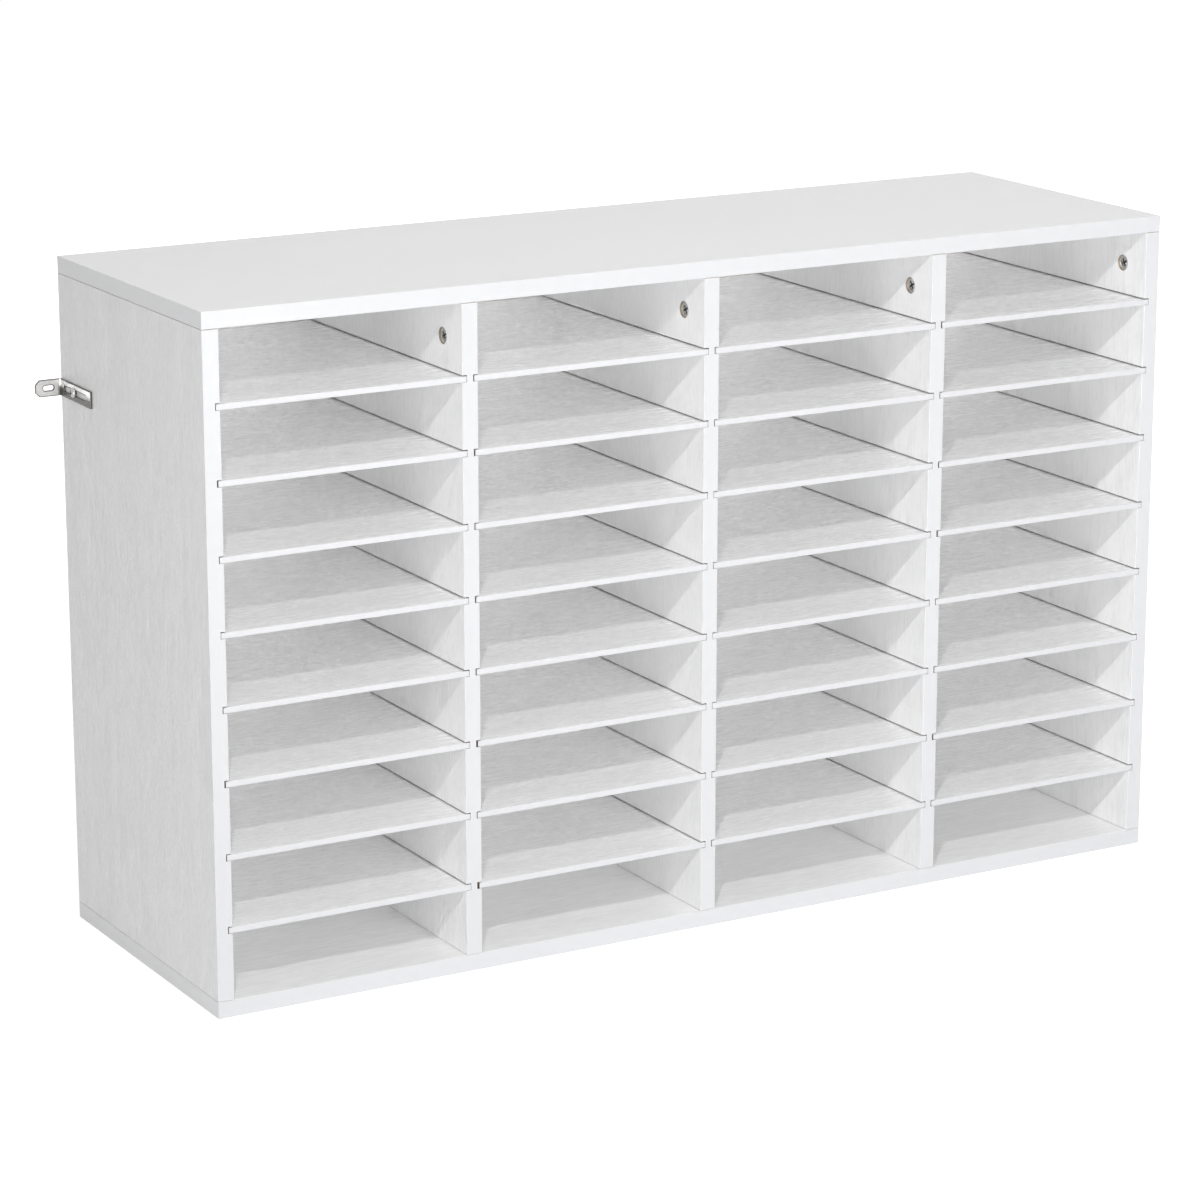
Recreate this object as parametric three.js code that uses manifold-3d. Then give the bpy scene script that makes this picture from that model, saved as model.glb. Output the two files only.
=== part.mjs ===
// Pigeonhole mail sorter: a cabinet of white boards with thin shelves that slide into grooves.
// Millimetres, +Z up. The open front faces -Y, the wall is at +Y, and the origin is on the floor
// under the middle of the cabinet.
import * as THREE from "three";
import { mergeVertices } from "three/addons/utils/BufferGeometryUtils.js";
import Module from "manifold-3d";

// Cabinet
const COLUMNS = 4;
const SHELVES = 8; // in each column
const WIDTH = 970;
const DEPTH = 305;
const HEIGHT = 610;
const BOARD = 15; // thickness of top, bottom, sides and dividers
const TOP_ROW_CLEAR = 62.8; // free height over the highest shelf
const BOTTOM_ROW_CLEAR = 60; // free height under the lowest shelf
const SEAM = 0.2; // hairline between two boards that butt
const SEAT = 0.2; // between a piece and what it rests on

// Shelves and the grooves that carry them
const SHELF = 5; // thickness
const GROOVE_DEPTH = 4.5;
const GROOVE_PLAY = 1; // free height over a shelf in its groove
const SHELF_REAR_GAP = 1; // between a shelf and the back panel

// How far each shelf's left end stays from the bottom of its groove, in tenths of a millimetre,
// row by row from the top and column by column from the left. The right ends are pushed home.
const SHELF_LEFT_GAP = [
  [8, 10, 10, 15],
  [13, 15, 8, 8],
  [8, 10, 4, 13],
  [4, 13, 6, 17],
  [8, 10, 4, 8],
  [13, 19, 4, 10],
  [8, 8, 6, 15],
  [8, 23, 8, 8],
];
const TENTH = 0.1;

// Back panel, held in grooves of the top, the bottom and the sides
const BACK = 3; // thickness
const BACK_INSET = 6; // from the cabinet's rear to the rear wall of the groove
const BACK_GROOVE_DEPTH = 5;

// Cam locks and their bolts, which pull the top down on the uprights
const CAM_INSET = 35; // from the board's front or rear edge to the cam's axis
const CAM_DROP = 33; // from the upright's top end to the cam's axis
const CAM_DIAMETER = 15;
const CAM_PLAY = 0.25; // round the cam in its bore
const CAM_FLOOR = 2.5; // board left behind a cam's bore
const CAM_RECESS = 1.6; // from the board's face to the cam's face
const CAM_CAVITY = 9; // diameter of the room for the bolt's head
const CAM_TURN = 150; // degrees from locked to open
const CROSS_LENGTH = 7.6;
const CROSS_WIDTH = 1.7;
const CROSS_DEPTH = 2.2;
const CROSS_LEAN = 61; // degrees that the locked cam's cross leans
const BOLT_HEAD = 6.4; // diameters along the bolt
const BOLT_NECK = 3.8;
const BOLT_SHANK = 7;
const BOLT_THREAD = 5;
const BOLT_NECK_PAST_CAM = 1.5; // from the cam's rim to the end of the neck
const BOLT_THREAD_LENGTH = 10.5;
const BOLT_PLAY = 0.3; // round and past each stretch of the bolt

// Screw holes from the bottom board into the uprights
const SCREW_HOLE = 7.4;
const SCREW_HEAD_HOLE = 10.4;
const SCREW_HEAD_DEPTH = 3.5;
const SCREW_PILOT = 5.4;
const SCREW_PILOT_DEPTH = 36;

// Wall brackets
const BRACKET_SHEET = 1.5;
const BRACKET_HEIGHT = 15.2;
const BRACKET_DROP = 116.5; // from the cabinet's top to the bracket's centre line
const SIDE_LEG = 70;
const WALL_LEG = 25;
const BEND = 2.5; // outer radius of the bend
const END_CHAMFER = 4;
const SIDE_SLOT_WIDTH = 5.4;
const SIDE_SLOT_START = 10; // from the wall to the slot
const SIDE_SLOT_END = 9; // from the slot to the leg's front end
const WALL_SLOT_LENGTH = 10;
const WALL_SLOT_WIDTH = 4.5;
const WALL_SLOT_MIDDLE = 12.5; // from the side board's face
const BRACKET_SCREW_INSET = 32; // from the wall to the screw's axis
const BRACKET_SCREW_HEAD = 8.8;
const BRACKET_SCREW_HEAD_HEIGHT = 2.8;
const BRACKET_SCREW_SHANK = 3.8;
const BRACKET_SCREW_REACH = 11; // into the side board
const BRACKET_SCREW_CROSS_LENGTH = 4.6;
const BRACKET_SCREW_CROSS_WIDTH = 1.1;
const BRACKET_SCREW_CROSS_DEPTH = 1.5;

// Facets of a full circle: of a cam and its bore, of what else shows, and of what is hidden
const CAM_ROUND = 40;
const ROUND = 24;
const HIDDEN_ROUND = 12;
// How far a cutting block runs past the face that it cuts
const OVERCUT = 1;

// Places that follow from the sizes above
const COLUMN_CLEAR = (WIDTH - (COLUMNS + 1) * BOARD) / COLUMNS; // free width of a pigeonhole
const LOWEST_SHELF = BOARD + BOTTOM_ROW_CLEAR; // heights of the shelves' undersides
const HIGHEST_SHELF = HEIGHT - BOARD - TOP_ROW_CLEAR - SHELF;
const SHELF_PITCH = (HIGHEST_SHELF - LOWEST_SHELF) / (SHELVES - 1);
const LEFT = -WIDTH / 2;
const FRONT = -DEPTH / 2;
const REAR = DEPTH / 2;
const UPRIGHT_BOTTOM = BOARD + SEAM;
const UPRIGHT_TOP = HEIGHT - BOARD - SEAM;
const BACK_GROOVE_REAR = REAR - BACK_INSET;
const BACK_GROOVE_FRONT = BACK_GROOVE_REAR - BACK - 2 * SEAT;
const BACK_FRONT = BACK_GROOVE_FRONT + SEAT;
const CAM_HEIGHT = UPRIGHT_TOP - CAM_DROP;
const CAM_BORE_DEPTH = BOARD - CAM_FLOOR;
const CAM_ROWS = { front: FRONT + CAM_INSET, rear: BACK_GROOVE_FRONT - CAM_INSET };
const BRACKET_MIDDLE = HEIGHT - BRACKET_DROP;
const SIDE_SLOT_LENGTH = SIDE_LEG - SIDE_SLOT_START - SIDE_SLOT_END;

const wasm = await Module();
wasm.setup();

// Finishes
const whiteBoard = new THREE.MeshStandardMaterial({ color: 0xeeeff2, roughness: 0.45 });
const whiteShelf = new THREE.MeshStandardMaterial({ color: 0xf0f0f1, roughness: 0.5 });
const backBoard = new THREE.MeshStandardMaterial({ color: 0xe6e6e6, roughness: 0.6 });
const zinc = new THREE.MeshStandardMaterial({ color: 0xa9a8a4, roughness: 0.5, metalness: 0.9 });
const nickel = new THREE.MeshStandardMaterial({ color: 0xc9c7c2, roughness: 0.25, metalness: 1 });

// A geometry as a solid that can be cut and joined
function solid(geometry) {
  const bare = geometry.clone();
  bare.deleteAttribute("normal");
  bare.deleteAttribute("uv");
  const merged = mergeVertices(bare, 1e-4);
  return new wasm.Manifold(
    new wasm.Mesh({
      numProp: 3,
      vertProperties: merged.attributes.position.array,
      triVerts: new Uint32Array(merged.index.array),
    }),
  );
}

// A solid back as a geometry
function surface(body) {
  const mesh = body.getMesh();
  const geometry = new THREE.BufferGeometry();
  geometry.setAttribute("position", new THREE.BufferAttribute(mesh.vertProperties, 3));
  geometry.setIndex(new THREE.BufferAttribute(mesh.triVerts, 1));
  geometry.computeVertexNormals();
  return geometry;
}

// A geometry with other geometries cut out of it
function cut(geometry, tools) {
  const body = tools.reduce((rest, tool) => rest.subtract(solid(tool)), solid(geometry));
  return surface(body);
}

// A block between two corners
function block(low, high) {
  const size = high.map((value, axis) => value - low[axis]);
  const middle = high.map((value, axis) => (value + low[axis]) / 2);
  return new THREE.BoxGeometry(...size).translate(...middle);
}

// A round bar along X or Z, from one end to the other
function bar(diameter, axis, from, to, facets = HIDDEN_ROUND) {
  const length = Math.abs(to[axis] - from[axis]);
  const geometry = new THREE.CylinderGeometry(diameter / 2, diameter / 2, length, facets);
  if (axis === 0) geometry.rotateZ(Math.PI / 2);
  if (axis === 2) geometry.rotateX(Math.PI / 2);
  return geometry.translate(...from.map((value, i) => (value + to[i]) / 2));
}

function piece(name, geometry, material) {
  const mesh = new THREE.Mesh(geometry, material);
  mesh.name = name;
  return mesh;
}

// Left face of an upright, counted from the left side (0) to the right side (COLUMNS)
function uprightLeft(index) {
  return LEFT + index * (BOARD + COLUMN_CLEAR);
}

function uprightMiddle(index) {
  return uprightLeft(index) + BOARD / 2;
}

function uprightName(index) {
  if (index === 0) return "left_side";
  if (index === COLUMNS) return "right_side";
  return `divider_${index}`;
}

// Underside of a shelf, counted from the top (1) down
function shelfBottom(row) {
  return HIGHEST_SHELF - (row - 1) * SHELF_PITCH;
}

// The cam sits in the left face of every upright but the left side, whose left face shows outside.
// +1 where the bore runs towards +X.
function camDirection(index) {
  return index === 0 ? -1 : 1;
}

// Cuts for the shelves in one face of an upright: side -1 is its left face, +1 its right face
function shelfGrooves(index, side) {
  const face = uprightMiddle(index) + (side * BOARD) / 2;
  const inner = face - side * GROOVE_DEPTH;
  const outer = face + side * OVERCUT;
  const grooves = [];
  for (let row = 1; row <= SHELVES; row++) {
    const low = shelfBottom(row) - SEAT;
    const high = shelfBottom(row) + SHELF + GROOVE_PLAY;
    grooves.push(
      block(
        [Math.min(inner, outer), FRONT - OVERCUT, low],
        [Math.max(inner, outer), BACK_GROOVE_FRONT + OVERCUT, high],
      ),
    );
  }
  return grooves;
}

// Bores for the cams, their bolts and the bottom screws in one upright
function fastenerBores(index) {
  const middle = uprightMiddle(index);
  const face = middle - (camDirection(index) * BOARD) / 2;
  const bores = [];
  for (const y of Object.values(CAM_ROWS)) {
    bores.push(
      bar(
        CAM_DIAMETER,
        0,
        [face - camDirection(index) * OVERCUT, y, CAM_HEIGHT],
        [face + camDirection(index) * CAM_BORE_DEPTH, y, CAM_HEIGHT],
        CAM_ROUND,
      ),
      bar(
        BOLT_SHANK + 2 * BOLT_PLAY,
        2,
        [middle, y, CAM_HEIGHT],
        [middle, y, UPRIGHT_TOP + OVERCUT],
      ),
      bar(
        SCREW_PILOT,
        2,
        [middle, y, UPRIGHT_BOTTOM - OVERCUT],
        [middle, y, UPRIGHT_BOTTOM + SCREW_PILOT_DEPTH],
      ),
    );
  }
  return bores;
}

function divider(index) {
  const left = uprightLeft(index);
  const board = block(
    [left, FRONT, UPRIGHT_BOTTOM],
    [left + BOARD, BACK_GROOVE_FRONT, UPRIGHT_TOP],
  );
  return cut(board, [
    ...shelfGrooves(index, -1),
    ...shelfGrooves(index, 1),
    ...fastenerBores(index),
  ]);
}

function sideBoard(index) {
  const left = uprightLeft(index);
  const inward = index === 0 ? 1 : -1;
  const inner = uprightMiddle(index) + (inward * BOARD) / 2;
  const outer = inner - inward * BOARD;
  const grooveEnds = [inner + inward * OVERCUT, inner - inward * BACK_GROOVE_DEPTH];
  const backGroove = block(
    [Math.min(...grooveEnds), BACK_GROOVE_FRONT, UPRIGHT_BOTTOM - OVERCUT],
    [Math.max(...grooveEnds), BACK_GROOVE_REAR, UPRIGHT_TOP + OVERCUT],
  );
  const screwHole = bar(
    BRACKET_SCREW_SHANK + 2 * SEAT,
    0,
    [outer - inward * OVERCUT, REAR - BRACKET_SCREW_INSET, BRACKET_MIDDLE],
    [outer + inward * (BRACKET_SCREW_REACH + SEAT), REAR - BRACKET_SCREW_INSET, BRACKET_MIDDLE],
  );
  const board = block([left, FRONT, UPRIGHT_BOTTOM], [left + BOARD, REAR, UPRIGHT_TOP]);
  return cut(board, [
    backGroove,
    screwHole,
    ...shelfGrooves(index, inward),
    ...fastenerBores(index),
  ]);
}

// Half the width of the back panel and of the groove that holds it
const BACK_GROOVE_HALF = COLUMN_CLEAR * (COLUMNS / 2) + (BOARD * (COLUMNS - 1)) / 2 + BACK_GROOVE_DEPTH;
const BACK_HALF = BACK_GROOVE_HALF - SEAT;

function backGroove(low, high) {
  return block(
    [-BACK_GROOVE_HALF, BACK_GROOVE_FRONT, low],
    [BACK_GROOVE_HALF, BACK_GROOVE_REAR, high],
  );
}

function topBoard() {
  const underside = HEIGHT - BOARD;
  const cuts = [backGroove(underside - OVERCUT, underside + BACK_GROOVE_DEPTH)];
  for (let index = 0; index <= COLUMNS; index++) {
    for (const y of Object.values(CAM_ROWS)) {
      const hole = BOLT_THREAD + 2 * BOLT_PLAY;
      const depth = BOLT_THREAD_LENGTH + BOLT_PLAY;
      const x = uprightMiddle(index);
      cuts.push(bar(hole, 2, [x, y, underside - OVERCUT], [x, y, underside + depth]));
    }
  }
  return cut(block([LEFT, FRONT, underside], [-LEFT, REAR, HEIGHT]), cuts);
}

function bottomBoard() {
  const cuts = [backGroove(BOARD - BACK_GROOVE_DEPTH, BOARD + OVERCUT)];
  for (let index = 0; index <= COLUMNS; index++) {
    for (const y of Object.values(CAM_ROWS)) {
      const x = uprightMiddle(index);
      cuts.push(
        bar(SCREW_HOLE, 2, [x, y, -OVERCUT], [x, y, BOARD + OVERCUT]),
        bar(SCREW_HEAD_HOLE, 2, [x, y, -OVERCUT], [x, y, SCREW_HEAD_DEPTH]),
      );
    }
  }
  return cut(block([LEFT, FRONT, 0], [-LEFT, REAR, BOARD]), cuts);
}

function backPanel() {
  const low = BOARD - BACK_GROOVE_DEPTH + SEAT;
  const high = HEIGHT - BOARD + BACK_GROOVE_DEPTH - SEAT;
  return block([-BACK_HALF, BACK_FRONT, low], [BACK_HALF, BACK_FRONT + BACK, high]);
}

function shelf(column, row) {
  const gaps = SHELF_LEFT_GAP[(row - 1) % SHELF_LEFT_GAP.length];
  const gap = gaps[(column - 1) % gaps.length] * TENTH;
  const left = uprightLeft(column) - COLUMN_CLEAR - GROOVE_DEPTH + gap;
  const right = uprightLeft(column) + GROOVE_DEPTH - SEAT;
  const low = shelfBottom(row);
  return block([left, FRONT, low], [right, BACK_FRONT - SHELF_REAR_GAP, low + SHELF]);
}

// A cross of two square-ended slots, sunk from x = 0 to x = depth, in the plane across X
function crossRecess(length, width, depth) {
  const low = -OVERCUT;
  return [
    block([low, -length / 2, -width / 2], [depth, length / 2, width / 2]),
    block([low, -width / 2, -length / 2], [depth, width / 2, length / 2]),
  ];
}

// A cam with its axis along X through the origin, its driven face at the low end.
// Locked, the bolt comes in along +Z, and the slot for its neck runs on over CAM_TURN degrees.
function camLock() {
  const face = -BOARD / 2 + CAM_RECESS;
  const end = CAM_BORE_DEPTH - BOARD / 2 - SEAT;
  const headRoom = BOLT_HEAD / 2 + BOLT_PLAY;
  const neckRoom = BOLT_NECK / 2 + BOLT_PLAY;
  const drum = bar(CAM_DIAMETER - 2 * CAM_PLAY, 0, [face, 0, 0], [end, 0, 0], CAM_ROUND);
  const cavity = bar(CAM_CAVITY, 0, [-headRoom, 0, 0], [end + OVERCUT, 0, 0]);

  const margin = Math.asin((2 * neckRoom) / CAM_CAVITY);
  const last = Math.PI / 2 + margin;
  const first = Math.PI / 2 - THREE.MathUtils.degToRad(CAM_TURN) - margin;
  const sector = new THREE.Shape();
  sector.absarc(0, 0, CAM_DIAMETER / 2 + OVERCUT, first, last, false);
  sector.absarc(0, 0, CAM_CAVITY / 2 - OVERCUT, last, first, true);
  const slot = new THREE.ExtrudeGeometry(sector, {
    depth: 2 * neckRoom,
    bevelEnabled: false,
    curveSegments: HIDDEN_ROUND,
  });
  // The shape's own X and Y become Y and Z
  slot.applyMatrix4(new THREE.Matrix4().makeBasis(
    new THREE.Vector3(0, 1, 0),
    new THREE.Vector3(0, 0, 1),
    new THREE.Vector3(1, 0, 0),
  ));
  slot.translate(-neckRoom, 0, 0);

  // The bolt's head comes in here when the cam is open
  const doorway = bar(2 * headRoom, 2, [0, 0, 0], [0, 0, CAM_DIAMETER]);
  doorway.rotateX(THREE.MathUtils.degToRad(-CAM_TURN));

  const cross = crossRecess(CROSS_LENGTH, CROSS_WIDTH, CROSS_DEPTH).map((arm) =>
    arm.rotateX(THREE.MathUtils.degToRad(CROSS_LEAN)).translate(face, 0, 0),
  );
  return cut(drum, [cavity, slot, doorway, ...cross]);
}

// A bolt along Z with its ball head round the origin and its thread in the top board
function camBolt() {
  const head = BOLT_HEAD / 2;
  const neck = BOLT_NECK / 2;
  const shank = BOLT_SHANK / 2;
  const thread = BOLT_THREAD / 2;
  const neckEnd = CAM_DIAMETER / 2 + BOLT_NECK_PAST_CAM;
  const shoulder = CAM_DROP - SEAT;
  const tip = CAM_DROP + SEAM + BOLT_THREAD_LENGTH;
  const ball = new THREE.Path();
  ball.absarc(0, 0, head, -Math.PI / 2, Math.acos(neck / head), false);
  const profile = ball.getPoints(HIDDEN_ROUND / 2);
  profile[0].x = 0;
  profile.push(
    new THREE.Vector2(neck, neckEnd),
    new THREE.Vector2(shank, neckEnd + shank - neck),
    new THREE.Vector2(shank, shoulder),
    new THREE.Vector2(thread, shoulder),
    new THREE.Vector2(thread, tip - thread / 2),
    new THREE.Vector2(thread / 2, tip),
    new THREE.Vector2(0, tip),
  );
  return new THREE.LatheGeometry(profile, HIDDEN_ROUND).rotateX(Math.PI / 2);
}

// A slot with round ends, length along the shape's X, centred on the origin and sunk along Z
function roundSlot(length, width, depth) {
  const half = (length - width) / 2;
  const outline = new THREE.Shape();
  outline.absarc(half, 0, width / 2, -Math.PI / 2, Math.PI / 2, false);
  outline.absarc(-half, 0, width / 2, Math.PI / 2, (3 * Math.PI) / 2, false);
  const slot = new THREE.ExtrudeGeometry(outline, {
    depth,
    bevelEnabled: false,
    curveSegments: ROUND / 4,
  });
  return slot.translate(0, 0, -depth / 2);
}

// The left bracket: a bent strip with one leg along the side board and one flush with the rear
function wallBracket() {
  const inner = LEFT - SEAT;
  const tip = inner - WALL_LEG;
  const strip = new THREE.Shape();
  strip.moveTo(inner, REAR - SIDE_LEG);
  strip.lineTo(inner, REAR - BEND);
  strip.absarc(inner - BEND, REAR - BEND, BEND, 0, Math.PI / 2, false);
  strip.lineTo(tip, REAR);
  strip.lineTo(tip, REAR - BRACKET_SHEET);
  strip.lineTo(inner - BEND, REAR - BRACKET_SHEET);
  strip.absarc(inner - BEND, REAR - BEND, BEND - BRACKET_SHEET, Math.PI / 2, 0, true);
  strip.lineTo(inner - BRACKET_SHEET, REAR - SIDE_LEG);
  strip.closePath();
  const bent = new THREE.ExtrudeGeometry(strip, {
    depth: BRACKET_HEIGHT,
    bevelEnabled: false,
    curveSegments: ROUND / 4,
  });
  bent.translate(0, 0, BRACKET_MIDDLE - BRACKET_HEIGHT / 2);

  const sideSlot = roundSlot(SIDE_SLOT_LENGTH, SIDE_SLOT_WIDTH, 2 * BRACKET_SHEET + 2 * OVERCUT);
  sideSlot.rotateX(Math.PI / 2).rotateZ(Math.PI / 2);
  sideSlot.translate(inner, REAR - SIDE_SLOT_START - SIDE_SLOT_LENGTH / 2, BRACKET_MIDDLE);

  const wallSlot = roundSlot(WALL_SLOT_LENGTH, WALL_SLOT_WIDTH, 2 * BRACKET_SHEET + 2 * OVERCUT);
  wallSlot.rotateX(Math.PI / 2);
  wallSlot.translate(inner - WALL_SLOT_MIDDLE, REAR, BRACKET_MIDDLE);

  // Corners of the wall leg's free end
  const side = END_CHAMFER * Math.SQRT2;
  const corners = [-1, 1].map((end) =>
    new THREE.BoxGeometry(side, 2 * BRACKET_SHEET + 2 * OVERCUT, side)
      .rotateY(Math.PI / 4)
      .translate(tip, REAR, BRACKET_MIDDLE + (end * BRACKET_HEIGHT) / 2),
  );
  return cut(bent, [sideSlot, wallSlot, ...corners]);
}

// The left bracket's pan-head screw, along X through the bracket's slot into the side board
function bracketScrew() {
  const head = BRACKET_SCREW_HEAD / 2;
  const shank = BRACKET_SCREW_SHANK / 2;
  const under = BRACKET_SHEET + 2 * SEAT; // from the side board's face to the head's underside
  const top = under + BRACKET_SCREW_HEAD_HEIGHT;
  const tip = -BRACKET_SCREW_REACH;
  const dome = new THREE.EllipseCurve(
    0, under, head, BRACKET_SCREW_HEAD_HEIGHT, 0, Math.PI / 2, false,
  ).getPoints(ROUND / 4);
  const profile = [
    new THREE.Vector2(0, tip),
    new THREE.Vector2(shank / 3, tip),
    new THREE.Vector2(shank, tip + BRACKET_SCREW_SHANK),
    new THREE.Vector2(shank, under),
    ...dome,
  ];
  profile[profile.length - 1].x = 0;
  const cross = crossRecess(
    BRACKET_SCREW_CROSS_LENGTH,
    BRACKET_SCREW_CROSS_WIDTH,
    BRACKET_SCREW_CROSS_DEPTH,
  ).map((arm) => arm.translate(-top, 0, 0));
  // The profile's height runs along -X, out of the board
  const turned = new THREE.LatheGeometry(profile, ROUND).rotateZ(Math.PI / 2);
  return cut(turned, cross).translate(LEFT, REAR - BRACKET_SCREW_INSET, BRACKET_MIDDLE);
}

const sorter = new THREE.Group();
sorter.name = "pigeonhole_mail_sorter";

sorter.add(piece("top_panel", topBoard(), whiteBoard));
sorter.add(piece("bottom_panel", bottomBoard(), whiteBoard));
sorter.add(piece("back_panel", backPanel(), backBoard));
for (let index = 0; index <= COLUMNS; index++) {
  const outside = index === 0 || index === COLUMNS;
  const board = outside ? sideBoard(index) : divider(index);
  sorter.add(piece(`${uprightName(index)}_panel`, board, whiteBoard));
}

for (let column = 1; column <= COLUMNS; column++) {
  for (let row = 1; row <= SHELVES; row++) {
    sorter.add(piece(`shelf_c${column}_r${row}`, shelf(column, row), whiteShelf));
  }
}

for (const [place, y] of Object.entries(CAM_ROWS)) {
  for (let index = 0; index <= COLUMNS; index++) {
    const cam = piece(`cam_lock_${uprightName(index)}_${place}`, camLock(), zinc);
    cam.position.set(uprightMiddle(index), y, CAM_HEIGHT);
    if (camDirection(index) < 0) cam.rotation.z = Math.PI;
    sorter.add(cam);
  }
}

// The rear bolts are the same as the front ones, and are left out here
for (let index = 0; index <= COLUMNS; index++) {
  const bolt = piece(`cam_bolt_${uprightName(index)}_front`, camBolt(), zinc);
  bolt.position.set(uprightMiddle(index), CAM_ROWS.front, CAM_HEIGHT);
  sorter.add(bolt);
}

for (const [name, mirror] of [["left", 1], ["right", -1]]) {
  const fixing = new THREE.Group();
  fixing.scale.x = mirror;
  fixing.add(piece(`${name}_wall_bracket`, wallBracket(), nickel));
  fixing.add(piece(`${name}_bracket_screw`, bracketScrew(), nickel));
  sorter.add(fixing);
}

export default sorter;
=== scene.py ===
"""Looks of a pigeonhole mail sorter: white foiled boards, thin loose shelves, cam locks, wall brackets.

Metres, +Z up, open front towards -Y, origin on the floor under the middle of the cabinet.
"""
import math

import bmesh
import bpy
from mathutils import Matrix, Vector


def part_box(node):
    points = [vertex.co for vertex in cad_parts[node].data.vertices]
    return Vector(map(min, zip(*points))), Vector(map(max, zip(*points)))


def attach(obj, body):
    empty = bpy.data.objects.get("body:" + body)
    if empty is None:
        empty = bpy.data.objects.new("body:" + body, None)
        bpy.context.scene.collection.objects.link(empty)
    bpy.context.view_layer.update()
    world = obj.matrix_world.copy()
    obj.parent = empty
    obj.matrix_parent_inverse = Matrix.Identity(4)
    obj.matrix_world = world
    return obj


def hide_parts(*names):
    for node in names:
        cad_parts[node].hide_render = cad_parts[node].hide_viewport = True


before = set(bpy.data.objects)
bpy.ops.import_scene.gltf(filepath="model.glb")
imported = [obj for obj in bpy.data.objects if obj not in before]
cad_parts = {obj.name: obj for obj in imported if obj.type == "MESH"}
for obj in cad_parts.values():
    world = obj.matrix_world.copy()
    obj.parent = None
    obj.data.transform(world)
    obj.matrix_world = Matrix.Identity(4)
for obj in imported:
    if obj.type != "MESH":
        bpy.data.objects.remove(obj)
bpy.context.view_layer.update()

MM = 0.001

# The cabinet's make-up
UPRIGHTS = ("left_side", "divider_1", "divider_2", "divider_3", "right_side")
COLUMNS = 4
SHELVES = 8
CAM_PLACES = ("front", "rear")
BRACKET_SIDES = ("left", "right")
CARCASS = "carcass"

# Level that the cabinet stands on
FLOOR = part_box("bottom_panel")[0].z

# How finely meshes are cleaned and told apart
WELD = 0.002 * MM
TOUCH = 0.02 * MM
FLAT_ANGLE = math.radians(0.5)
SHARP_ANGLE = math.radians(32)
GROOVE_LENGTH = 200 * MM  # a cut longer than this is a groove

# Eased arrises
BOARD_EASE = 0.4 * MM
SHELF_EASE = 0.3 * MM
BACK_EASE = 0.15 * MM
BRACKET_EASE = 0.22 * MM
CAM_RIM_EASE = 0.3 * MM
EASE_STEPS = 2

# Bent strips of the wall brackets
BRACKET_ARRIS = math.radians(60)  # the bend's facets meet at less than this
BRACKET_RIM = 0.55 * MM  # band of painted dark reflection round the strip's faces
BRACKET_BROAD = 100 * MM * MM  # least area of the strip's flat faces
BRACKET_TALL = 0.6  # a face of this share of the strip's height lies on the bend or at an end
BRACKET_END = 1.0 * MM  # within this of the strip's ends it lies at an end

# Faces of the cam locks, and the crosses that a driver turns
CAM_RIM = 0.7 * MM  # width of the raised rim and of the lip round the cross
CAM_RIM_FROM = 0.95  # the rim's outer edge lies beyond this share of the cam's radius
CAM_SINK = 0.3 * MM  # depth of the ring between rim and lip
CAM_CROSS_REACH = 4.2 * MM
SCREW_CROSS_REACH = 2.5 * MM
RECESS_DEPTH = 1.0 * MM  # a face that goes deeper than this is a wall or the floor of a recess

# Screws that hold the bottom board to the uprights, seen only from below
SCREW_HEAD_RADIUS = 4.9 * MM
SCREW_HEAD_LOW = 0.3 * MM  # from the board's underside to the head
SCREW_HEAD_HEIGHT = 3.0 * MM
SCREW_HEAD_CHAMFER = 0.4 * MM
SCREW_SHANK_RADIUS = 3.5 * MM
SCREW_SHANK_TOP = 14.0 * MM
SCREW_THREAD_RADIUS = 2.6 * MM
SCREW_CORE_RADIUS = 1.9 * MM
SCREW_THREAD_PITCH = 2.5 * MM
SCREW_THREAD_TURNS = 12
SCREW_TIP = 3.0 * MM
SOCKET_RADIUS = 2.3 * MM
SOCKET_DEPTH = 2.0 * MM
SOCKET_COLLAR = 3.2 * MM
TURNED_STEPS = 32

# Grain of the foil: the marks' length and width, their shares, and the span of tones that shows
GRAIN_BANDS = (240 * MM, 14 * MM)
GRAIN_STREAKS = (30 * MM, 1.9 * MM)
GRAIN_FIBRES = (14 * MM, 1.1 * MM)
GRAIN_PORES = (14 * MM, 0.5 * MM)
PORE_SPAN = (0.60, 0.72)
PORE_DEPTH = 0.3
STREAK_SHARE = 0.65  # the rest is fibres
FINE_SHARE = 0.86  # the rest is bands
TONE_SPAN = (0.42, 0.56)
FOIL_DULL = 0.06  # rougher in the dark grain
FOIL_SHINE = 0.04  # smoother in the light grain

# Patches and specks of the other finishes
PATCH_SCALE = 0.35
SPECK_SCALE = 1.6
PATCH_SHARE = 0.55  # the rest is specks
SPECKLE_SPAN = (0.36, 0.64)

# Brushing of the brackets, and their painted reflection
BRUSH_LENGTH = 6 * MM
BRUSH_WIDTH = 0.5 * MM
BRUSH_SPAN = (0.3, 0.7)
BRUSH_ROUGH = (0.16, 0.34)
BRUSH_DEPTH = 0.01 * MM
# Painted reflection: dark on the lower half of the strip, bright above it and on the wall leg
PAINTED_REFLECTION_DARK = (0.10, 0.097, 0.093)
PAINTED_REFLECTION_BRIGHT = (0.90, 0.89, 0.875)
PAINTED_REFLECTION_SPAN = (0.60, 0.88)  # painted reflection from dark to bright, in shares of the strip's height
PAINTED_REFLECTION_RAGGED = 0.35  # how far the brushing moves that border
WALL_LEG_HIGHLIGHT_START = 2 * MM  # out from the cabinet's side, where the painted highlight on the wall leg begins
WALL_LEG_HIGHLIGHT_FULL = 4 * MM
WALL_LEG_HIGHLIGHT_METAL = 0.15  # less metal on the wall leg, whose bright colour is a painted highlight

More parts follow.
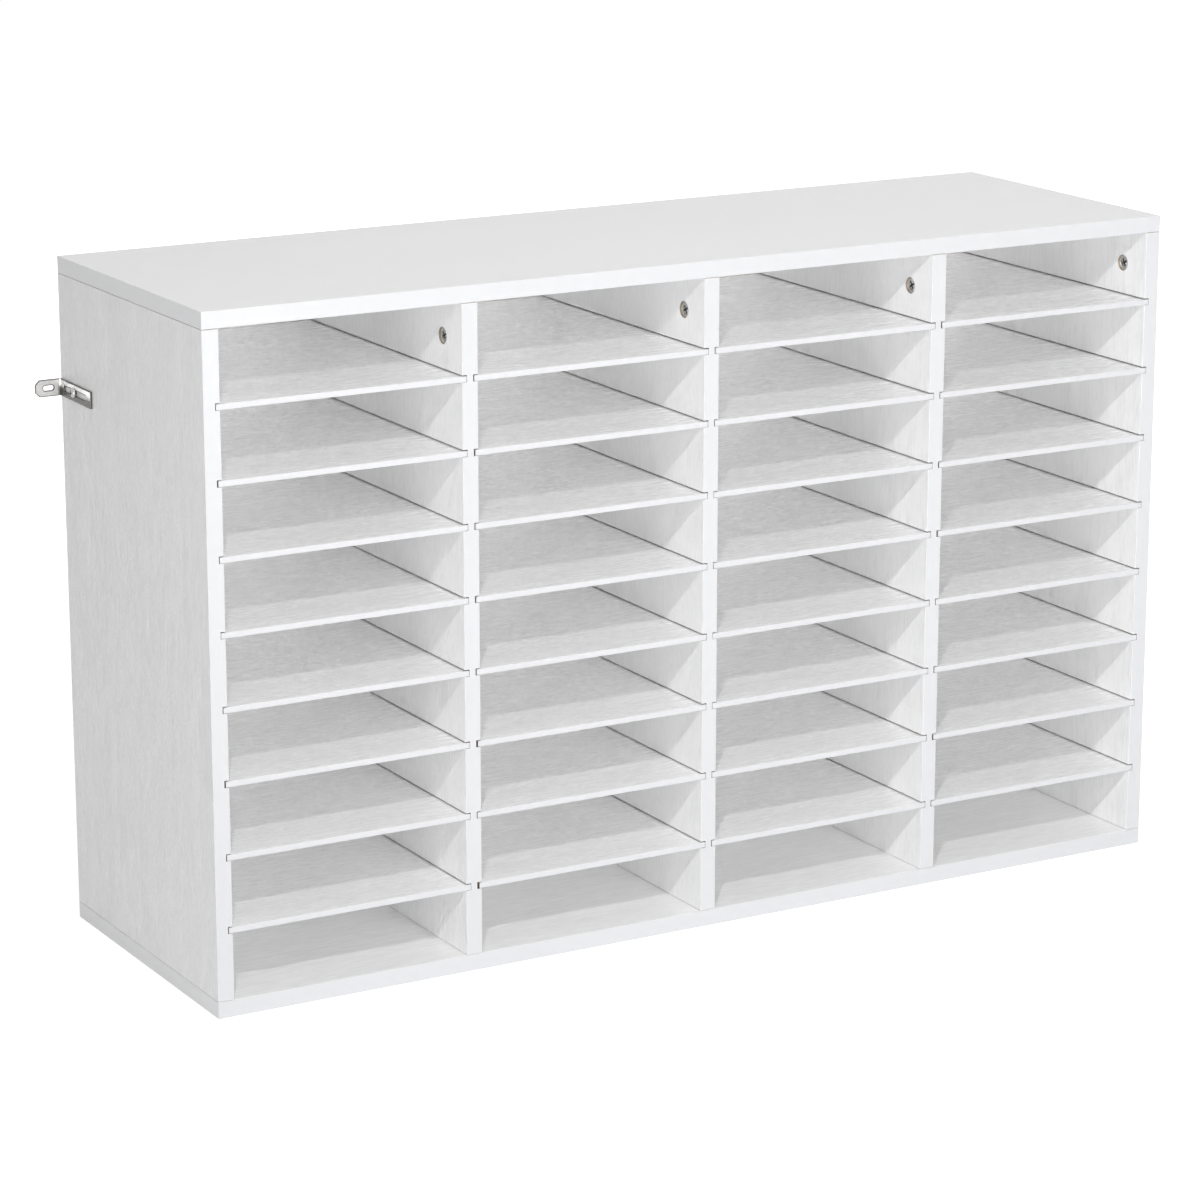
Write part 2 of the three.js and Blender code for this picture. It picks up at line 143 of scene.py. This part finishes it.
# Camera
PICTURE = 1200
FOCAL_PIXELS = 4050.88
SENSOR = 36.0
CAMERA_PLACE = Vector((-1.8074, -3.1240, 1.2211))
CAMERA_YAW = 0.5184
CAMERA_PITCH = 0.2576
CAMERA_FAR = 100.0

# Light: each lamp's place, the point it looks at, its width, its power and whether it shows in gloss
LAMPS = {
    "key": (Vector((-1.385, -1.934, 1.959)), Vector((0.815, -3.134, 0.3)), 0.10, 53.0, True),
    "front_fill": (Vector((0.1, -3.0, 0.45)), Vector((0.0, 0.0, 0.3)), 1.2, 50.0, True),
    "left_fill": (Vector((-3.2, -1.5, 0.6)), Vector((-0.3, 0.0, 0.3)), 1.6, 17.0, True),
    "top_fill": (Vector((0.0, -0.6, 3.0)), Vector((0.0, 0.0, 0.3)), 2.2, 16.5, True),
    "rear_fill": (Vector((2.2, 3.2, 1.4)), Vector((0.0, 0.0, 0.3)), 2.0, 55.0, False),
}
AMBIENT = 0.235
FLOOR_SIZE = 12.0
FLOOR_GAP = 0.2 * MM
FLOOR_PALE = (0.8, 0.8, 0.8, 1)  # as it lights the cabinet
FLOOR_SEEN = (0.5, 0.5, 0.5, 1)  # as it adds to the glow in the picture
WHITE = (1, 1, 1, 1)
SHADOW_REACH = (0.6, 2.4)  # the floor shows shadow within the first and none beyond the second
SHADOW_GLOW = 0.78  # how bright the floor is in full shadow
WHITE_BOUNCES = 24  # light reaches the back of a white pigeonhole only after many bounces


def node(tree, kind, inputs=None, **settings):
    """A shader node with its settings, its values and its links."""
    made = tree.nodes.new(kind)
    for key, value in settings.items():
        setattr(made, key, value)
    for socket, value in (inputs or {}).items():
        if isinstance(value, bpy.types.NodeSocket):
            tree.links.new(value, made.inputs[socket])
        else:
            made.inputs[socket].default_value = value
    return made


def group_tree(name, inputs, outputs):
    """An empty shader node group with its sockets, and its two end nodes."""
    tree = bpy.data.node_groups.new(name, "ShaderNodeTree")
    for label, kind in inputs:
        tree.interface.new_socket(label, in_out="INPUT", socket_type=kind)
    for label, kind in outputs:
        tree.interface.new_socket(label, in_out="OUTPUT", socket_type=kind)
    return tree, tree.nodes.new("NodeGroupInput"), tree.nodes.new("NodeGroupOutput")


def noise(tree, vector, scale, detail=2.0, roughness=0.5):
    """Value of a noise whose vector is first stretched by scale."""
    stretched = node(tree, "ShaderNodeVectorMath", {0: vector, 1: scale}, operation="MULTIPLY")
    made = node(tree, "ShaderNodeTexNoise", {
        "Vector": stretched.outputs[0], "Scale": 1.0, "Detail": detail, "Roughness": roughness,
    })
    return made.outputs["Fac"]


def remap(tree, value, low, high, to_low, to_high):
    """A value moved from one span to another, held inside the second."""
    made = node(tree, "ShaderNodeMapRange", {
        "Value": value, "From Min": low, "From Max": high, "To Min": to_low, "To Max": to_high,
    })
    return made.outputs[0]


def arithmetic(tree, operation, first, second):
    return node(tree, "ShaderNodeMath", {0: first, 1: second}, operation=operation).outputs[0]


def blended(tree, first, second, share):
    """A share of the first value and the rest of the second."""
    return arithmetic(tree, "ADD", arithmetic(tree, "MULTIPLY", first, share),
                      arithmetic(tree, "MULTIPLY", second, 1 - share))


def per_metre(along, across):
    """Stretch of a grain whose marks are so long along X and so wide across it."""
    return (1 / along, 1 / across, 1 / across)


def wood_grain_group():
    """Grain of a printed and embossed foil, running along the vector's X."""
    tree, start, end = group_tree(
        "wood_grain",
        [("Vector", "NodeSocketVector")],
        [("Tone", "NodeSocketFloat"), ("Height", "NodeSocketFloat")],
    )
    vector = start.outputs["Vector"]
    bands = noise(tree, vector, per_metre(*GRAIN_BANDS))
    streaks = noise(tree, vector, per_metre(*GRAIN_STREAKS), roughness=0.6)
    fibres = noise(tree, vector, per_metre(*GRAIN_FIBRES), detail=1.0)
    pores = noise(tree, vector, per_metre(*GRAIN_PORES), detail=1.0)
    fine = blended(tree, streaks, fibres, STREAK_SHARE)
    sunk = arithmetic(tree, "MULTIPLY", remap(tree, pores, *PORE_SPAN, 0.0, 1.0), PORE_DEPTH)
    tree.links.new(blended(tree, fine, bands, FINE_SHARE), end.inputs["Tone"])
    tree.links.new(arithmetic(tree, "SUBTRACT", fine, sunk), end.inputs["Height"])
    return tree


def speckle_group():
    """Patches and specks at a given size, for chips, cast metal and plating."""
    tree, start, end = group_tree(
        "speckle",
        [("Vector", "NodeSocketVector"), ("Size", "NodeSocketFloat")],
        [("Patches", "NodeSocketFloat"), ("Specks", "NodeSocketFloat")],
    )
    scaled = node(tree, "ShaderNodeVectorMath", {0: start.outputs["Vector"]}, operation="SCALE")
    tree.links.new(arithmetic(tree, "DIVIDE", 1.0, start.outputs["Size"]), scaled.inputs["Scale"])
    patches = node(tree, "ShaderNodeTexNoise", {
        "Vector": scaled.outputs[0], "Scale": PATCH_SCALE, "Detail": 3.0, "Roughness": 0.6,
    })
    specks = node(tree, "ShaderNodeTexNoise", {
        "Vector": scaled.outputs[0], "Scale": SPECK_SCALE, "Detail": 2.0, "Roughness": 0.7,
    })
    tree.links.new(patches.outputs["Fac"], end.inputs["Patches"])
    tree.links.new(specks.outputs["Fac"], end.inputs["Specks"])
    return tree


WOOD_GRAIN = wood_grain_group()
SPECKLE = speckle_group()


def new_material(name):
    """A material with its tree, its Principled shader and the place on the object."""
    material = bpy.data.materials.new(name)
    material.use_nodes = True
    tree = material.node_tree
    place = tree.nodes.new("ShaderNodeTexCoord").outputs["Object"]
    return material, tree, tree.nodes["Principled BSDF"], place


def mixed(tree, share, first, second):
    """A colour between two, by a share from 0 to 1."""
    made = node(tree, "ShaderNodeMix", data_type="RGBA")
    for socket, value in (("Factor_Float", share), ("A_Color", (*first, 1)), ("B_Color", (*second, 1))):
        target = next(s for s in made.inputs if s.identifier == socket)
        if isinstance(value, bpy.types.NodeSocket):
            tree.links.new(value, target)
        else:
            target.default_value = value
    return next(s for s in made.outputs if s.identifier == "Result_Color")


def relief(tree, shader, height, depth):
    """Bump of a given depth on a shader."""
    bump = node(tree, "ShaderNodeBump", {"Height": height, "Distance": depth, "Strength": 1.0})
    tree.links.new(bump.outputs["Normal"], shader.inputs["Normal"])


def foil(name, turn, dark, light, gloss, depth):
    """White woodgrain foil whose grain runs along X after the given turn about Y."""
    material, tree, shader, place = new_material(name)
    turned = node(tree, "ShaderNodeMapping", {"Vector": place, "Rotation": (0.0, turn, 0.0)})
    grain = node(tree, "ShaderNodeGroup", {}, node_tree=WOOD_GRAIN)
    tree.links.new(turned.outputs[0], grain.inputs["Vector"])
    tone = remap(tree, grain.outputs["Tone"], *TONE_SPAN, 0.0, 1.0)
    tree.links.new(mixed(tree, tone, dark, light), shader.inputs["Base Color"])
    rough = remap(tree, tone, 0.0, 1.0, gloss + FOIL_DULL, gloss - FOIL_SHINE)
    tree.links.new(rough, shader.inputs["Roughness"])
    relief(tree, shader, grain.outputs["Height"], depth)
    return material


def speckled(name, size, dark, light, rough, metal=0.0, depth=0.0):
    """A finish of patches and specks between two colours, with a span of roughness."""
    material, tree, shader, place = new_material(name)
    spots = node(tree, "ShaderNodeGroup", {"Size": size}, node_tree=SPECKLE)
    tree.links.new(place, spots.inputs["Vector"])
    both = blended(tree, spots.outputs["Patches"], spots.outputs["Specks"], PATCH_SHARE)
    share = remap(tree, both, *SPECKLE_SPAN, 0.0, 1.0)
    tree.links.new(mixed(tree, share, dark, light), shader.inputs["Base Color"])
    tree.links.new(remap(tree, share, 0.0, 1.0, rough[1], rough[0]), shader.inputs["Roughness"])
    shader.inputs["Metallic"].default_value = metal
    relief(tree, shader, both, depth)
    return material


ALONG_Z = math.pi / 2
FOIL_UPRIGHT = foil(
    "foil_upright", ALONG_Z, (0.872, 0.872, 0.877), (0.99, 0.99, 0.992), gloss=0.30, depth=0.12 * MM)
FOIL_LYING = foil(
    "foil_lying", 0.0, (0.895, 0.895, 0.897), (0.988, 0.988, 0.989), gloss=0.20, depth=0.06 * MM)
FOIL_SHELF = foil(
    "foil_shelf", 0.0, (0.918, 0.918, 0.92), (0.963, 0.963, 0.963), gloss=0.26, depth=0.012 * MM)
# White front edge band painted grey: painted shade on the front edges, which face the lamps
SHADED_EDGE_BAND = speckled(
    "shaded_edge_band", 4 * MM, (0.647, 0.652, 0.667), (0.659, 0.664, 0.679), (0.3, 0.38), depth=0.01 * MM)
END_BAND = speckled(
    "end_band", 4 * MM, (0.88, 0.885, 0.895), (0.895, 0.90, 0.91), (0.3, 0.38), depth=0.01 * MM)
RAW_CHIPBOARD = speckled(
    "raw_chipboard", 2 * MM, (0.27, 0.205, 0.145), (0.55, 0.44, 0.33), (0.75, 0.95), depth=0.15 * MM)
# Raw board's brown darkened with painted shade, for the faces of the grooves
PAINTED_SHADE_GROOVE = speckled(
    "painted_shade_groove", 1.5 * MM, (0.08, 0.06, 0.045), (0.20, 0.15, 0.11), (0.8, 0.95), depth=0.1 * MM)
WHITE_PAINT = speckled(
    "white_paint", 9 * MM, (0.94, 0.94, 0.935), (0.965, 0.965, 0.96), (0.42, 0.5), depth=0.01 * MM)
BROWN_HARDBOARD = speckled(
    "brown_hardboard", 3 * MM, (0.27, 0.17, 0.09), (0.36, 0.24, 0.135), (0.6, 0.75), depth=0.04 * MM)
CAST_ZINC = speckled(
    "cast_zinc", 0.8 * MM, (0.22, 0.215, 0.205), (0.92, 0.91, 0.89), (0.32, 0.55), 0.85, 0.08 * MM)
PLATED_STEEL = speckled(
    "plated_steel", 1.5 * MM, (0.42, 0.41, 0.39), (0.62, 0.61, 0.58), (0.2, 0.35), 1.0, 0.01 * MM)
# Near-black painted shade for the crosses of the cams and screws
PAINTED_SHADE_RECESS = speckled(
    "painted_shade_recess", 0.5 * MM, (0.012, 0.012, 0.012), (0.03, 0.03, 0.029), (0.6, 0.8), depth=0.02 * MM)
# Painted dark reflection for the rims, edges and ends of the bracket strips
PAINTED_DARK_RIM = speckled(
    "painted_dark_rim", 1.2 * MM, (0.10, 0.098, 0.095), (0.22, 0.215, 0.205), (0.3, 0.5), 1.0, 0.02 * MM)


def nickel_painted_reflection():
    """Nickel on a bent strip with painted reflection: dark along its lower half, and a painted
    highlight above and on the wall leg.
    """
    material, tree, shader, place = new_material("nickel_painted_reflection")
    low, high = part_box("left_wall_bracket")
    part = node(tree, "ShaderNodeSeparateXYZ", {0: place}).outputs
    brushed = noise(tree, place, (1 / BRUSH_LENGTH, 1 / BRUSH_LENGTH, 1 / BRUSH_WIDTH))
    across = remap(tree, part["Z"], low.z, high.z, 0.0, 1.0)
    ragged = arithmetic(tree, "ADD", across, arithmetic(tree, "MULTIPLY", brushed, PAINTED_REFLECTION_RAGGED))
    upper = remap(tree, ragged, *PAINTED_REFLECTION_SPAN, 0.0, 1.0)
    outward = node(tree, "ShaderNodeMath", {0: part["X"]}, operation="ABSOLUTE").outputs[0]
    wall_leg = remap(tree, outward, -high.x + WALL_LEG_HIGHLIGHT_START, -high.x + WALL_LEG_HIGHLIGHT_FULL, 0.0, 1.0)
    bright = arithmetic(tree, "MAXIMUM", upper, wall_leg)
    # painted reflection and painted highlight in the base colour
    tree.links.new(mixed(tree, bright, PAINTED_REFLECTION_DARK, PAINTED_REFLECTION_BRIGHT), shader.inputs["Base Color"])
    tree.links.new(remap(tree, brushed, *BRUSH_SPAN, *BRUSH_ROUGH), shader.inputs["Roughness"])
    tree.links.new(remap(tree, wall_leg, 0.0, 1.0, 1.0, WALL_LEG_HIGHLIGHT_METAL), shader.inputs["Metallic"])
    relief(tree, shader, brushed, BRUSH_DEPTH)
    return material


# nickel with a painted reflection and a painted highlight
NICKEL_PAINTED_REFLECTION = nickel_painted_reflection()


def welded_copy(name):
    """A CAD node's mesh as one closed shell of flat faces."""
    bm = bmesh.new()
    bm.from_mesh(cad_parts[name].data)
    bmesh.ops.remove_doubles(bm, verts=bm.verts, dist=WELD)
    bmesh.ops.dissolve_limit(bm, angle_limit=FLAT_ANGLE, verts=bm.verts, edges=bm.edges)
    return bm


def finished_piece(bm, name, body, materials, smooth=False):
    """The object made from a bmesh, riding on its body."""
    mesh = bpy.data.meshes.new(name)
    bm.to_mesh(mesh)
    bm.free()
    if smooth:
        mesh.shade_smooth()
        mesh.set_sharp_from_angle(angle=SHARP_ANGLE)
    for material in materials:
        mesh.materials.append(material)
    piece = bpy.data.objects.new(name, mesh)
    bpy.context.scene.collection.objects.link(piece)
    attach(piece, body)
    return piece


def outer_sides(point, low, high):
    """The sides of a block that a point lies on, as pairs of axis and direction."""
    sides = set()
    for axis in range(3):
        if abs(point[axis] - low[axis]) < TOUCH:
            sides.add((axis, -1))
        if abs(point[axis] - high[axis]) < TOUCH:
            sides.add((axis, 1))
    return sides


def dressed_board(name, body, finishes, ease):
    """A board with eased arrises. Finishes pairs each material with the sides that it covers:
    the first also shows in bores, the second in grooves."""
    bm = welded_copy(name)
    low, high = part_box(name)
    for face in bm.faces:
        shared = set.intersection(*(outer_sides(v.co, low, high) for v in face.verts))
        covers = [index for index, (material, sides) in enumerate(finishes) if shared & sides]
        groove = max(e.calc_length() for e in face.edges) > GROOVE_LENGTH
        face.material_index = covers[0] if covers else int(groove)
    arrises = [
        e for e in bm.edges
        if len(outer_sides(e.verts[0].co, low, high) & outer_sides(e.verts[1].co, low, high)) > 1
    ]
    bmesh.ops.bevel(bm, geom=arrises, offset=ease, offset_type="OFFSET", segments=EASE_STEPS,
                    profile=0.5, affect="EDGES", material=-1)
    piece = finished_piece(bm, name + "_finished", body, [m for m, sides in finishes])
    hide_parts(name)


LEFT_SIDE, RIGHT_SIDE = (0, -1), (0, 1)
FRONT_SIDE, REAR_SIDE = (1, -1), (1, 1)
UNDER_SIDE, TOP_SIDE = (2, -1), (2, 1)


def carcass_boards():
    """Top, bottom, back and the five uprights."""
    lying = [
        (RAW_CHIPBOARD, {REAR_SIDE}),
        # grooves: raw board with painted shade
        (PAINTED_SHADE_GROOVE, set()),
        (FOIL_LYING, {UNDER_SIDE, TOP_SIDE}),
        # front edges in grey painted shade
        (SHADED_EDGE_BAND, {FRONT_SIDE}),
        (END_BAND, {LEFT_SIDE, RIGHT_SIDE}),
    ]
    standing = [
        (RAW_CHIPBOARD, {UNDER_SIDE, TOP_SIDE, REAR_SIDE}),
        # grooves: raw board with painted shade
        (PAINTED_SHADE_GROOVE, set()),
        (FOIL_UPRIGHT, {LEFT_SIDE, RIGHT_SIDE}),
        # front edges in grey painted shade
        (SHADED_EDGE_BAND, {FRONT_SIDE}),
    ]
    back = [
        (BROWN_HARDBOARD, {REAR_SIDE, LEFT_SIDE, RIGHT_SIDE, UNDER_SIDE, TOP_SIDE}),
        (WHITE_PAINT, {FRONT_SIDE}),
    ]
    for name in ("top_panel", "bottom_panel"):
        dressed_board(name, CARCASS, lying, BOARD_EASE)
    for upright in UPRIGHTS:
        dressed_board(upright + "_panel", CARCASS, standing, BOARD_EASE)
    dressed_board("back_panel", CARCASS, back, BACK_EASE)


def shelves():
    """The loose shelves, each on its own body."""
    finishes = [
        (RAW_CHIPBOARD, {LEFT_SIDE, RIGHT_SIDE, REAR_SIDE}),
        (FOIL_SHELF, {UNDER_SIDE, TOP_SIDE}),
        # front edges in grey painted shade
        (SHADED_EDGE_BAND, {FRONT_SIDE}),
    ]
    for column in range(1, COLUMNS + 1):
        for row in range(1, SHELVES + 1):
            name = f"shelf_c{column}_r{row}"
            dressed_board(name, name, finishes, SHELF_EASE)


def paint_recess_shade(bm, middle, level, inward, reach):
    """Second material, painted shade, for the faces of a cross that is sunk along X within reach of the
    middle.
    """
    for face in bm.faces:
        near = all((v.co - middle).yz.length < reach for v in face.verts)
        if near and max((v.co.x - level) * inward for v in face.verts) > RECESS_DEPTH:
            face.material_index = 1


def cam_locks():
    """Cast cams: a raised rim and a lip round the cross stand over a sunk ring."""
    for upright in UPRIGHTS:
        driven = 1 if upright == UPRIGHTS[0] else -1
        for place in CAM_PLACES:
            name = f"cam_lock_{upright}_{place}"
            bm = welded_copy(name)
            low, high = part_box(name)
            level = high.x if driven > 0 else low.x
            face = [f for f in bm.faces if all(abs(v.co.x - level) < TOUCH for v in f.verts)]
            middle = (low + high) / 2
            radius = (high.z - low.z) / 2
            rim = [
                e for e in bm.edges
                if all(abs(v.co.x - level) < TOUCH for v in e.verts)
                and all((v.co - middle).yz.length > CAM_RIM_FROM * radius for v in e.verts)
            ]
            bmesh.ops.inset_region(bm, faces=face, thickness=CAM_RIM, depth=0.0,
                                   use_even_offset=True, use_boundary=True)
            bmesh.ops.inset_region(bm, faces=face, thickness=CAM_SINK / 2, depth=-CAM_SINK,
                                   use_even_offset=True, use_boundary=True)
            bmesh.ops.bevel(bm, geom=rim, offset=CAM_RIM_EASE, offset_type="OFFSET",
                            segments=EASE_STEPS, profile=0.5, affect="EDGES", material=-1)
            # painted shade on the walls and floor of the cam's cross
            paint_recess_shade(bm, middle, level, -driven, CAM_CROSS_REACH)
            piece = finished_piece(bm, name + "_finished", name,
                                   [CAST_ZINC, PAINTED_SHADE_RECESS], smooth=True)
            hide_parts(name)


def cam_bolts():
    """The front bolts keep their solids; the rear ones are the same bolts, moved back."""
    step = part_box("cam_lock_left_side_rear")[0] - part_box("cam_lock_left_side_front")[0]
    for upright in UPRIGHTS:
        name = f"cam_bolt_{upright}_front"
        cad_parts[name].data.materials.clear()
        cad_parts[name].data.materials.append(PLATED_STEEL)
        bm = welded_copy(name)
        bmesh.ops.translate(bm, verts=bm.verts, vec=(0, step.y, 0))
        finished_piece(bm, f"cam_bolt_{upright}_rear", CARCASS,
                       [PLATED_STEEL], smooth=True)


def bottom_screw(x, y):
    """A flat-headed furniture screw with a hexagon socket, pointing up."""
    head_low = FLOOR + SCREW_HEAD_LOW
    head_top = head_low + SCREW_HEAD_HEIGHT
    profile = [
        (SOCKET_COLLAR, head_low),
        (SCREW_HEAD_RADIUS - SCREW_HEAD_CHAMFER, head_low),
        (SCREW_HEAD_RADIUS, head_low + SCREW_HEAD_CHAMFER),
        (SCREW_HEAD_RADIUS, head_top),
        (SCREW_SHANK_RADIUS, head_top),
        (SCREW_SHANK_RADIUS, FLOOR + SCREW_SHANK_TOP),
    ]
    for turn in range(SCREW_THREAD_TURNS):
        height = FLOOR + SCREW_SHANK_TOP + (turn + 0.5) * SCREW_THREAD_PITCH
        profile.append((SCREW_CORE_RADIUS, height - SCREW_THREAD_PITCH / 4))
        profile.append((SCREW_THREAD_RADIUS, height + SCREW_THREAD_PITCH / 4))
    profile.append((0.0, profile[-1][1] + SCREW_TIP))

    bm = bmesh.new()
    points = [bm.verts.new((radius, 0, height)) for radius, height in profile]
    outline = [bm.edges.new(pair) for pair in zip(points, points[1:])]
    bmesh.ops.spin(bm, geom=points + outline, cent=(0, 0, 0), axis=(0, 0, 1), angle=math.tau,
                   steps=TURNED_STEPS, use_merge=True)
    bmesh.ops.remove_doubles(bm, verts=bm.verts, dist=WELD)
    collar = [e for e in bm.edges if e.is_boundary]

    hexagon = bmesh.ops.create_circle(bm, segments=6, radius=SOCKET_RADIUS,
                                      matrix=Matrix.Translation((0, 0, head_low)))["verts"]
    mouth = list(dict.fromkeys(e for v in hexagon for e in v.link_edges))
    bmesh.ops.bridge_loops(bm, edges=collar + mouth)
    walls = bmesh.ops.extrude_edge_only(bm, edges=mouth)["geom"]
    sunk = [v for v in walls if isinstance(v, bmesh.types.BMVert)]
    bmesh.ops.translate(bm, verts=sunk, vec=(0, 0, SOCKET_DEPTH))
    bmesh.ops.contextual_create(bm, geom=sunk)
    bmesh.ops.recalc_face_normals(bm, faces=bm.faces)
    bmesh.ops.translate(bm, verts=bm.verts, vec=(x, y, 0))
    return bm


def bottom_screws():
    """One screw under each end of each upright, in line with the cams."""
    for upright in UPRIGHTS:
        for place in CAM_PLACES:
            low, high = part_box(f"cam_lock_{upright}_{place}")
            board_low, board_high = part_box(upright + "_panel")
            bm = bottom_screw((board_low.x + board_high.x) / 2, (low.y + high.y) / 2)
            finished_piece(bm, f"bottom_screw_{upright}_{place}", CARCASS,
                           [PLATED_STEEL], smooth=True)


def wall_bracket(side):
    """A bent nickel strip with painted reflection on its faces and its bend, and painted dark
    reflection round its faces, on its edges and at its ends.
    """
    name = side + "_wall_bracket"
    bm = welded_copy(name)
    arrises = [
        e for e in bm.edges if len(e.link_faces) == 2 and e.calc_face_angle() > BRACKET_ARRIS
    ]
    bmesh.ops.bevel(bm, geom=arrises, offset=BRACKET_EASE, offset_type="OFFSET",
                    segments=EASE_STEPS, profile=0.5, affect="EDGES", material=-1)
    broad = [f for f in bm.faces if f.calc_area() > BRACKET_BROAD]
    bright = set(broad)
    bmesh.ops.inset_region(bm, faces=broad, thickness=BRACKET_RIM, use_even_offset=True,
                           use_boundary=True)
    low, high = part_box(name)
    outer = low.x if side == "left" else high.x
    for face in bm.faces:
        heights = [v.co.z for v in face.verts]
        tall = max(heights) - min(heights) > BRACKET_TALL * (high.z - low.z)
        middle = face.calc_center_median()
        end = min(middle.y - low.y, abs(middle.x - outer)) < BRACKET_END
        # painted dark reflection on the rim, the edges and the ends
        face.material_index = 0 if face in bright or (tall and not end) else 1
    piece = finished_piece(bm, name + "_finished", name,
                           [NICKEL_PAINTED_REFLECTION, PAINTED_DARK_RIM], smooth=True)
    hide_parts(name)


def bracket_screw(side):
    """The pan-head screw in a bracket's slot, with painted shade in its cross."""
    name = side + "_bracket_screw"
    bm = welded_copy(name)
    low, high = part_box(name)
    level, inward = (low.x, 1) if side == "left" else (high.x, -1)
    # painted shade in the screw's cross
    paint_recess_shade(bm, (low + high) / 2, level, inward, SCREW_CROSS_REACH)
    piece = finished_piece(bm, name + "_finished", CARCASS,
                           [PLATED_STEEL, PAINTED_SHADE_RECESS], smooth=True)
    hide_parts(name)


def seen_directly(tree):
    """1 for what the camera sees directly, in a gloss or through glass, and 0 for other light."""
    path = tree.nodes.new("ShaderNodeLightPath")
    either = arithmetic(tree, "MAXIMUM", path.outputs["Is Camera Ray"], path.outputs["Is Glossy Ray"])
    return arithmetic(tree, "MAXIMUM", either, path.outputs["Is Transmission Ray"])


def studio_floor():
    """A pale floor that is white in the picture but for the cabinet's soft shadow."""
    bm = bmesh.new()
    bmesh.ops.create_grid(bm, x_segments=1, y_segments=1, size=FLOOR_SIZE / 2,
                          matrix=Matrix.Translation((0, 0, FLOOR - FLOOR_GAP)))
    mesh = bpy.data.meshes.new("floor")
    bm.to_mesh(mesh)
    bm.free()
    floor = bpy.data.objects.new("floor", mesh)
    bpy.context.scene.collection.objects.link(floor)

    material = bpy.data.materials.new("studio_floor")
    material.use_nodes = True
    tree = material.node_tree
    tree.nodes.remove(tree.nodes["Principled BSDF"])
    pale = node(tree, "ShaderNodeBsdfDiffuse", {"Color": FLOOR_PALE})
    shaded = node(tree, "ShaderNodeBsdfDiffuse", {"Color": FLOOR_SEEN})
    place = tree.nodes.new("ShaderNodeTexCoord").outputs["Object"]
    away = node(tree, "ShaderNodeVectorMath", {0: place}, operation="LENGTH").outputs["Value"]
    strength = remap(tree, away, *SHADOW_REACH, SHADOW_GLOW, 1.0)
    glow = node(tree, "ShaderNodeEmission", {"Color": WHITE, "Strength": strength})
    white = node(tree, "ShaderNodeAddShader", {0: shaded.outputs[0], 1: glow.outputs[0]})
    both = node(tree, "ShaderNodeMixShader", {
        0: seen_directly(tree), 1: pale.outputs[0], 2: white.outputs[0],
    })
    tree.links.new(both.outputs[0], tree.nodes["Material Output"].inputs["Surface"])
    mesh.materials.append(material)


def studio_world():
    """Even light all round, white where the camera sees it."""
    world = bpy.data.worlds.new("studio")
    world.use_nodes = True
    bpy.context.scene.world = world
    tree = world.node_tree
    strength = remap(tree, seen_directly(tree), 0.0, 1.0, AMBIENT, 1.0)
    background = tree.nodes["Background"]
    background.inputs["Color"].default_value = WHITE
    tree.links.new(strength, background.inputs["Strength"])


def soft_lamp(name, place, aim, size, power, glossy):
    """A round lamp that lights the cabinet and isn't seen itself."""
    light = bpy.data.lights.new(name, "AREA")
    light.shape = "DISK"
    light.size = size
    light.energy = power
    lamp = bpy.data.objects.new(name, light)
    lamp.location = place
    lamp.visible_camera = False
    lamp.visible_glossy = glossy
    lamp.rotation_euler = (aim - place).to_track_quat("-Z", "Y").to_euler()
    bpy.context.scene.collection.objects.link(lamp)


def camera():
    """The photograph's view."""
    data = bpy.data.cameras.new("camera")
    data.sensor_width = SENSOR
    data.lens = FOCAL_PIXELS * SENSOR / PICTURE
    data.clip_end = CAMERA_FAR
    view = bpy.data.objects.new("camera", data)
    view.location = CAMERA_PLACE
    look = Vector((
        math.sin(CAMERA_YAW) * math.cos(CAMERA_PITCH),
        math.cos(CAMERA_YAW) * math.cos(CAMERA_PITCH),
        -math.sin(CAMERA_PITCH),
    ))
    view.rotation_euler = look.to_track_quat("-Z", "Y").to_euler()
    bpy.context.scene.collection.objects.link(view)
    bpy.context.scene.camera = view


bpy.context.scene.view_settings.view_transform = "Standard"
bpy.context.scene.cycles.max_bounces = WHITE_BOUNCES
bpy.context.scene.cycles.diffuse_bounces = WHITE_BOUNCES
camera()
carcass_boards()
shelves()
cam_locks()
cam_bolts()
bottom_screws()
for bracket_side in BRACKET_SIDES:
    wall_bracket(bracket_side)
    bracket_screw(bracket_side)
studio_floor()
studio_world()
for lamp_name, settings in LAMPS.items():
    soft_lamp(lamp_name, *settings)
